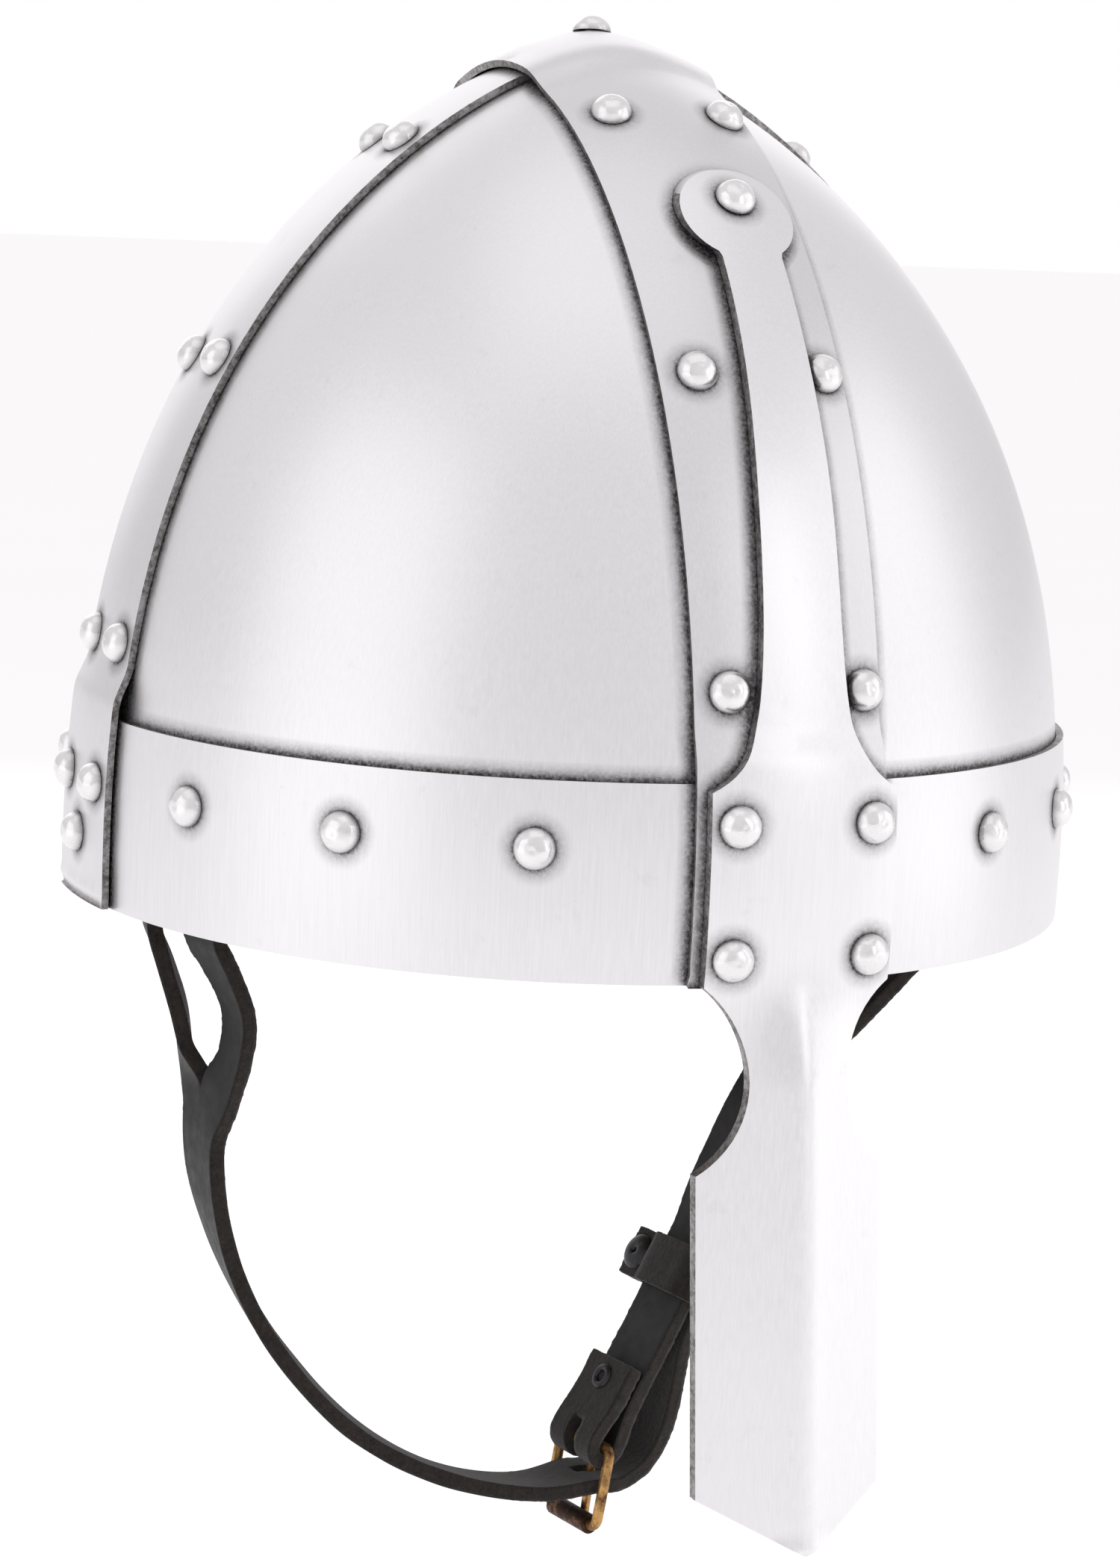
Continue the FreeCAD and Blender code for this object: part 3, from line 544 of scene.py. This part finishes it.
# ---------------------------------------------------------------- chin strap
def fork(front, rear):
    """Grid of the two tails, from inside the rim down to where they merge.

    front and rear are stations (point, across, half). The slit between the tails closes
    at their lower end.
    """
    count = FORK_ROWS
    tails = []
    for stations in (front, rear):
        rows = squared_up(spline(stations, 1.0))
        picks = [rows[round(k * (len(rows) - 1) / count)] for k in range(count + 1)]
        tails.append(picks)
    grids = [[], []]
    for k in range(count + 1):
        (f_mid, f_way, f_half), (r_mid, r_way, r_half) = tails[0][k], tails[1][k]
        outer, inner = f_mid - f_way * f_half, f_mid + f_way * f_half
        r_inner, r_outer = r_mid - r_way * r_half, r_mid + r_way * r_half
        meet = (inner + r_inner) / 2
        closing = smooth((k - count + FORK_CLOSING) / FORK_CLOSING)
        inner = inner.lerp(meet, closing)
        r_inner = r_inner.lerp(meet, closing)
        grids[0].append(columns_between(outer, inner))
        grids[1].append(columns_between(r_inner, r_outer))
    return grids


TAIL_COLUMNS = (-1.0, -0.82, -0.3, 0.3, 0.82, 1.0)


def columns_between(first, last):
    return [first.lerp(last, (u + 1) / 2) for u in TAIL_COLUMNS]


def tail_stations(side, angles, free, half, ways):
    """Stations of one tail: riveted inside the wall, then free below the rim."""
    stations = []
    for angle, z in zip(angles, ANCHOR_HEIGHTS[side]):
        here = wall(side * angle, z, TAIL_DEPTH)
        tangent = (wall(side * (angle + 2), z) - wall(side * (angle - 2), z)).normalized()
        stations.append((here, tangent, half))
    for point, way in zip(free, ways):
        stations.append((Vector(point), Vector(way).normalized(), half))
    return stations


def merged_strap(fork_grids, stations):
    """The single strap that goes on from the last row of a fork."""
    last_front, last_rear = fork_grids[0][-1], fork_grids[1][-1]
    seam = last_front + last_rear[1:]
    centre = (seam[0] + seam[-1]) / 2
    across = seam[-1] - seam[0]
    half = across.length / 2
    route = [(centre, across.normalized(), half)] + stations
    rows = squared_up(spline(route, 2.4))
    shares = [((p - seam[0]).length / (seam[-1] - seam[0]).length) * 2 - 1 for p in seam]
    grid = ribbon_grid(rows, shares)
    grid[0] = seam
    return grid


def strap_right():
    """Long strap: down from the fork, under the chin, through the buckle and up again."""
    front_free = [(-94.3, -40.3, -0.5), (-90.5, -40.6, -8), (-86.6, -40.4, -17),
                  (-86.4, -39.3, -25), (-88.4, -36.8, -35.5)]
    rear_free = [(-99.2, -21, -0.5), (-96.4, -22, -10), (-93.8, -23.5, -19),
                 (-92.4, -25.0, -28), (-91.2, -28.0, -35.5)]
    front = tail_stations(RIGHT, [FRONT_TAIL_ANGLE] * 4, front_free, FRONT_TAIL_HALF,
                          [(-0.36, 0.93, 0), (-0.25, 0.96, 0.05), (-0.16, 0.98, 0.08),
                           (-0.12, 0.99, 0.05), (-0.18, 0.98, 0)])
    rear = tail_stations(RIGHT, REAR_TAIL_ANGLES, rear_free, REAR_TAIL_HALF,
                         [(0.1, 0.99, 0), (0.33, 0.94, 0), (0.36, 0.93, 0),
                          (0.2, 0.97, 0), (-0.12, 0.99, 0)])
    grids = fork(front, rear)
    route = [(-90.6, -32.4, -43), (-90.3, -32.9, -52), (-87.3, -33.6, -64.8),
             (-81.5, -35.6, -79), (-72.0, -38, -93.6), (-60.4, -40, -106.0),
             (-48.4, -42, -114.2), (-34.7, -44, -119.6), (-20.0, -45, -121.9)]
    ways = [(-0.1, 0.99, 0), (-0.04, 1, 0), (0.07, 1, 0), (0.16, 0.98, -0.04),
            (0.22, 0.96, -0.11), (0.24, 0.95, -0.17), (0.2, 0.95, -0.2), (0.12, 0.97, -0.18),
            (0.0, 0.99, -0.1)]
    stations = [(Vector(p), Vector(w), STRAP_HALF) for p, w in zip(route, ways)]
    free_end = [(-7.6, 3.0), (-5.6, 7.6), (0.5, 12.0), (8.5, 12.6), (17.0, 10.4), (25.0, 7.4),
                (33.0, 5.95), (40.0, FREE_LEVEL), (50.0, FREE_LEVEL), (60.0, FREE_LEVEL)]
    stations += [(strap_point(h, n), ACROSS, STRAP_HALF) for h, n in free_end]
    rounded = ((63.0, 7.0), (65.5, 5.2), (67.0, 2.6))
    stations += [(strap_point(h, FREE_LEVEL), ACROSS, half) for h, half in rounded]

    def slot(place):
        local = place - BAR
        near = abs(local.dot(ACROSS)) < 2.0 and -1.0 < local.dot(OFF) < 8.0
        return near and 3.8 < local.dot(DOWN) < 13.0

    grids.append(merged_strap(grids, stations))
    return strap_piece("chin_strap_right", grids, slot,
                       ["strap_anchor_front_right", "strap_anchor_rear_right",
                        "strap_fork_right", "strap_long"])


def strap_left():
    """Buckle strap: down from the fork, round the buckle's bar and back up as a flap."""
    front_free = [(90.5, -39.4, 9.5), (80.0, -40.6, 0.5), (68.0, -41.4, -10), (57.0, -42, -20),
                  (46.0, -41.6, -30.0), (37.8, -40.6, -37.6)]
    rear_free = [(93.5, -20, 9.5), (78.0, -21.5, -1), (62.0, -24, -12.5), (50.0, -27, -22),
                 (41.0, -30.0, -30.5), (35.6, -32.0, -37.6)]
    front = tail_stations(LEFT, [FRONT_TAIL_ANGLE] * 4, front_free, FRONT_TAIL_HALF,
                          [(0.3, 0.95, 0), (0.12, 0.99, 0), (0.05, 1, 0), (0.0, 1, 0),
                           (-0.03, 1, 0), (-0.05, 1, 0)])
    rear = tail_stations(LEFT, REAR_TAIL_ANGLES, rear_free, REAR_TAIL_HALF,
                         [(-0.2, 0.98, 0), (-0.1, 0.99, 0), (0, 1, 0), (0, 1, 0),
                          (-0.03, 1, 0), (-0.05, 1, 0)])
    grids = fork(front, rear)
    route = [(31.0, -37.0, -45.0), (28.0, -37.4, -50.6), (22.4, -38.6, -61)]
    stations = [(Vector(p), Vector((-0.08, 1, 0)), STRAP_HALF) for p in route]
    fold = [(50.0, 1.95), (42.0, 1.95), (32.0, 1.95), (20.0, 1.95), (9.5, 1.95), (4.8, 2.6),
            (0.0, 3.3), (-2.33, 2.33), (-3.3, 0.0), (-2.33, -2.33), (0.0, -3.3), (4.8, -2.6),
            (9.5, -1.95), (13.5, -1.95), (17.5, -1.95)]
    stations += [(strap_point(h, n), ACROSS, STRAP_HALF) for h, n in fold]

    def slot(place):
        local = place - BAR
        return abs(local.dot(ACROSS)) < 2.0 and -6.5 < local.dot(UP) < 4.2

    grids.append(merged_strap(grids, stations))
    return strap_piece("chin_strap_left", grids, slot,
                       ["strap_anchor_front_left", "strap_anchor_rear_left",
                        "strap_fork_left", "strap_buckle_side"])


def strap_piece(name, grids, slot, nodes):
    piece = leather_sheet(name, grids, STRAP, (GRAIN, FLESH, EDGE), 2, slot)
    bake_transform(piece)
    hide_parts(*nodes)
    return piece


def keeper():
    """Loop round both layers of the strap, with a two-layer tab for the press stud."""
    loop = [(18.9, 2.6), (16.5, 2.6), (14.0, 2.6), (11.7, 2.5), (10.1, 1.6), (8.9, -0.1),
            (6.8, -1.8), (2.5, -2.2), (-2.5, -2.2), (-7.2, -1.9), (-9.9, 0.2), (-10.3, 3.9),
            (-10.0, 7.2), (-7.4, 9.4), (-2.5, 9.7), (2.5, 9.7), (7.0, 9.4), (9.1, 7.8),
            (10.1, 5.7), (11.7, 4.7), (14.0, 4.6), (16.5, 4.6), (18.9, 4.6)]
    stations = [(strap_point(KEEPER_AT, n, w), UP, KEEPER_HALF) for w, n in loop]
    rows = squared_up(spline(stations, 1.6))
    piece = leather_sheet("keeper_loop", [ribbon_grid(rows)], KEEPER_LEATHER,
                          (GRAIN, FLESH, EDGE), 2, None, 0.12)
    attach(piece, "keeper")
    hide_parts("strap_keeper")
    return piece


def turned_piece(name, profile, centre, axis, material, segments=40):
    """Solid of revolution from (radius, height) in mm, with its axis on a direction."""
    bm = bmesh.new()
    turn = UP_Z.rotation_difference(axis).to_matrix().to_4x4()
    place = Matrix.Translation(centre * MM) @ turn
    rings = []
    for radius, height in profile:
        ring = []
        for k in range(segments):
            angle = 2 * math.pi * k / segments
            here = Vector((radius * math.cos(angle), radius * math.sin(angle), height)) * MM
            ring.append(bm.verts.new(place @ here))
        rings.append(ring)
    for low, high in zip(rings, rings[1:] + rings[:1]):
        for k in range(segments):
            bm.faces.new((low[k], low[(k + 1) % segments], high[(k + 1) % segments], high[k]))
    bmesh.ops.recalc_face_normals(bm, faces=bm.faces)
    mesh = bpy.data.meshes.new(name)
    bm.to_mesh(mesh)
    bm.free()
    mesh.materials.append(material)
    piece = linked(name, mesh)
    soft = piece.modifiers.new("soft", "SUBSURF")
    soft.levels = 1
    soft.render_levels = 1
    return smooth_shaded(settled(piece))


def studs():
    """Press stud on the keeper's tab, and the eyelet through the folded flap."""
    cap = [(0.25, 1.5), (1.6, 1.42), (3.1, 1.12), (3.8, 0.62), (4.05, 0.2), (3.9, 0.0),
           (3.4, 0.02), (1.3, 0.0), (1.2, -1.5), (0.25, -1.5)]
    low = turned_piece("keeper_snap_face", cap, strap_point(KEEPER_AT, 1.45, STUD_AT), -OUT, BLACK)
    high = turned_piece("keeper_snap_back", cap, strap_point(KEEPER_AT, 5.6, STUD_AT), OUT, BLACK)
    for piece in (low, high):
        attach(piece, "keeper")
    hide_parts("keeper_stud")
    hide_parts("keeper_stud")
    eyelet = [(1.1, 0.35), (1.35, 0.75), (2.0, 0.95), (2.7, 0.6), (2.9, 0.1), (2.6, 0.0),
              (1.25, 0.0), (1.15, -3.6), (1.0, -3.6)]
    for name, level, way in (("flap_eyelet_face", -3.6, -OUT), ("flap_eyelet_back", 3.6, OUT)):
        piece = turned_piece(name, eyelet, strap_point(FLAP_RIVET_AT, level), way, BLACK)
        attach(piece, "chin_strap")
        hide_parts("flap_rivet")


# ---------------------------------------------------------------- liner
def worked_leather(node, name, voxel=0.9, lumps=0.5):
    """Leather copy of a CAD solid, with soft edges and the small waves of handled hide."""
    mesh = NODES[node].data.copy()
    bm = bmesh.new()
    bm.from_mesh(mesh)
    bmesh.ops.remove_doubles(bm, verts=bm.verts, dist=0.005 * MM)
    bm.to_mesh(mesh)
    bm.free()
    mesh.materials.clear()
    mesh.materials.append(LINER_GRAIN)
    piece = linked(name, mesh)
    remesh = piece.modifiers.new("voxels", "REMESH")
    remesh.mode = "VOXEL"
    remesh.voxel_size = voxel * MM
    soft = piece.modifiers.new("soft", "SMOOTH")
    soft.factor = 0.5
    soft.iterations = 4
    settled(piece)
    piece.data.materials.clear()
    piece.data.materials.append(LINER_GRAIN)
    places = places_of(piece.data)[0]
    for here in places:
        place = here / MM
        lift = noise.noise(place * 0.05) * lumps + noise.noise(place * 0.3) * lumps * 0.12
        here += Vector((-here.x, -here.y, 0)).normalized() * (max(lift, 0.0) * MM)
    moved_to(piece.data, places)
    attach(piece, "root")
    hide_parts(node)
    return smooth_shaded(piece)


def stitch(bm, start, end, lift, radius=0.42):
    """One stitch: a short bead of thread whose ends dive into the leather."""
    along = end - start
    turn = UP_Z.rotation_difference(along.normalized()).to_matrix().to_4x4()
    middle = (start + end) / 2 + lift
    scale = Matrix.Diagonal((radius, radius, along.length * 0.5, 1))
    matrix = Matrix.Translation(middle) @ turn @ scale
    bmesh.ops.create_uvsphere(bm, u_segments=8, v_segments=6, radius=1.0, matrix=matrix)


def stitching(name, lines):
    """Rows of stitches; each line is a list of (point, normal) in mm."""
    bm = bmesh.new()
    for line in lines:
        for (a, a_up), (b, b_up) in zip(line[0::2], line[1::2]):
            stitch(bm, a, b, (a_up + b_up) * 0.1)
    mesh = bpy.data.meshes.new(name)
    bm.to_mesh(mesh)
    bm.free()
    mesh.transform(Matrix.Scale(MM, 4))
    mesh.materials.append(THREAD)
    piece = smooth_shaded(linked(name, mesh))
    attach(piece, "root")
    return piece


def surface_of(piece):
    mesh = piece.data
    return BVHTree.FromPolygons(places_of(mesh)[0], [tuple(f.vertices) for f in mesh.polygons])


def met(surface, origin, direction):
    """Where a ray first meets a surface, in mm, with the face's normal."""
    place, normal, _, _ = surface.ray_cast(origin * MM, direction)
    return (place / MM, normal) if place else None


BAND_STITCHES = (18.5, 38.5)    # heights of the rows round the band
TONGUE_STITCHES = (37.4, 39.6)  # heights of the rows that hold a tongue to the band
RING_STITCHES = (29.0, 33.0)    # distances from the axis of the rows at the crown ring


def liner():
    """Band, tongues and crown ring, with the stitches that join them."""
    band = surface_of(worked_leather("liner_band", "liner_band_leather"))
    lines = []
    for z in BAND_STITCHES:
        line = []
        for k in range(360):
            turn = math.radians(k + 0.5)
            way = Vector((math.sin(turn), math.cos(turn), 0))
            found = met(band, Vector((0, 0, z)), way)
            if found:
                line.append(found)
        lines.append(line)
    for index in range(8):
        node = "liner_tongue_%d" % (index + 1)
        tongue = surface_of(worked_leather(node, "liner_tongue_leather_%d" % (index + 1)))
        middle = 45 * (index + 0.5)
        for z in TONGUE_STITCHES:
            line = []
            for k in range(-9, 9):
                turn = math.radians(180 + middle + k * 1.05)
                way = Vector((math.sin(turn), math.cos(turn), 0))
                found = met(tongue, Vector((0, 0, z)), way)
                if found:
                    line.append(found)
            lines.append(line)
        turn = math.radians(180 + middle)
        way = Vector((math.sin(turn), math.cos(turn), 0))
        side = way.cross(UP_Z)
        for reach in RING_STITCHES:
            line = []
            for k in range(-5, 5):
                found = met(tongue, way * reach + side * k + Vector((0, 0, 90)), UP_Z)
                if found:
                    line.append(found)
            lines.append(line)
    worked_leather("liner_crown_ring", "liner_ring_leather")
    stitching("liner_stitching", lines)


# ---------------------------------------------------------------- studio
CAMERA_TURN = math.radians(-23.698)
CAMERA_RISE = math.radians(8.853)
CAMERA_ROLL = math.radians(2.228)
CAMERA_DISTANCE = 0.7698
CAMERA_TARGET = Vector((-0.00264, -0.00488, 0.0215))
LENS = 81.37


def camera():
    data = bpy.data.cameras.new("camera")
    data.lens = LENS
    data.sensor_width = 36.0
    data.clip_start = 0.01
    item = bpy.data.objects.new("camera", data)
    bpy.context.scene.collection.objects.link(item)
    back = Vector((math.sin(CAMERA_TURN) * math.cos(CAMERA_RISE),
                   -math.cos(CAMERA_TURN) * math.cos(CAMERA_RISE), math.sin(CAMERA_RISE)))
    right = (-back).cross(UP_Z).normalized()
    up = right.cross(-back)
    across = right * math.cos(CAMERA_ROLL) + up * math.sin(CAMERA_ROLL)
    above = up * math.cos(CAMERA_ROLL) - right * math.sin(CAMERA_ROLL)
    turn = Matrix((across, above, back)).transposed().to_4x4()
    item.matrix_world = Matrix.Translation(CAMERA_TARGET + back * CAMERA_DISTANCE) @ turn
    bpy.context.scene.camera = item


def softbox(name, turn, rise, distance, size, power, colour=(1, 1, 1)):
    """Rectangular light that faces the helmet from an azimuth and elevation in degrees."""
    data = bpy.data.lights.new(name, "AREA")
    data.shape = "RECTANGLE"
    data.size, data.size_y = size
    data.energy = power
    data.color = colour
    item = bpy.data.objects.new(name, data)
    bpy.context.scene.collection.objects.link(item)
    a, e = math.radians(turn), math.radians(rise)
    way = Vector((math.sin(a) * math.cos(e), -math.cos(a) * math.cos(e), math.sin(e)))
    item.location = way * distance + Vector((0, 0, 0.04))
    item.rotation_euler = way.to_track_quat("Z", "Y").to_euler()


def studio():
    scene = bpy.context.scene
    scene.view_settings.view_transform = "Standard"
    world = bpy.data.worlds.new("studio")
    scene.world = world
    world.use_nodes = True
    tree = world.node_tree
    background = tree.nodes["Background"]
    background.inputs["Color"].default_value = (0.78, 0.762, 0.772, 1)
    white = tree.nodes.new("ShaderNodeBackground")
    white.inputs["Color"].default_value = (1, 1, 1, 1)
    where = tree.nodes.new("ShaderNodeTexCoord")
    height = tree.nodes.new("ShaderNodeSeparateXYZ")
    tree.links.new(where.outputs["Generated"], height.inputs[0])
    fall = tree.nodes.new("ShaderNodeMapRange")
    tree.links.new(height.outputs["Z"], fall.inputs["Value"])
    fall.inputs["From Min"].default_value = -0.1
    fall.inputs["From Max"].default_value = 0.35
    fall.inputs["To Min"].default_value = 0.86
    fall.inputs["To Max"].default_value = 1.04
    tree.links.new(fall.outputs[0], background.inputs["Strength"])
    path = tree.nodes.new("ShaderNodeLightPath")
    mix = tree.nodes.new("ShaderNodeMixShader")
    tree.links.new(path.outputs["Is Camera Ray"], mix.inputs[0])
    tree.links.new(background.outputs[0], mix.inputs[1])
    tree.links.new(white.outputs[0], mix.inputs[2])
    tree.links.new(mix.outputs[0], tree.nodes["World Output"].inputs[0])
    softbox("left_box", -80, 12, 1.3, (1.1, 1.5), 2.0)
    softbox("right_box", 62, 10, 1.3, (0.9, 1.5), 1.8)
    softbox("front_strip", 24, 18, 1.3, (0.3, 0.9), 0.7)
    softbox("top_box", -20, 78, 1.4, (1.2, 1.2), 1.0)
    softbox("back_box", 165, 25, 1.6, (1.8, 1.4), 4)
    floor()


def floor():
    """Wide pale paper, a little self-lit so that it stays even out to the horizon."""
    low = CAD_BOX[0].z - 0.13
    mesh = bpy.data.meshes.new("floor")
    size = 60.0
    corners = [(-size, -size, low), (size, -size, low), (size, size, low), (-size, size, low)]
    mesh.from_pydata(corners, [], [(0, 1, 2, 3)])
    s = Shader("floor_paper")
    base = s.mixed(s.noise(3.0, 2, 0.5), grey(0.93), grey(0.95))
    paper = s.finish(Base_Color=base, Roughness=0.9, Specular_IOR_Level=0.1,
                     Emission_Color=grey(1.0), Emission_Strength=0.2)
    mesh.materials.append(paper)
    linked("floor", mesh)


finish_shell()
finish_metal()
strap_right()
strap_left()
keeper()
studs()
liner()
camera()
studio()
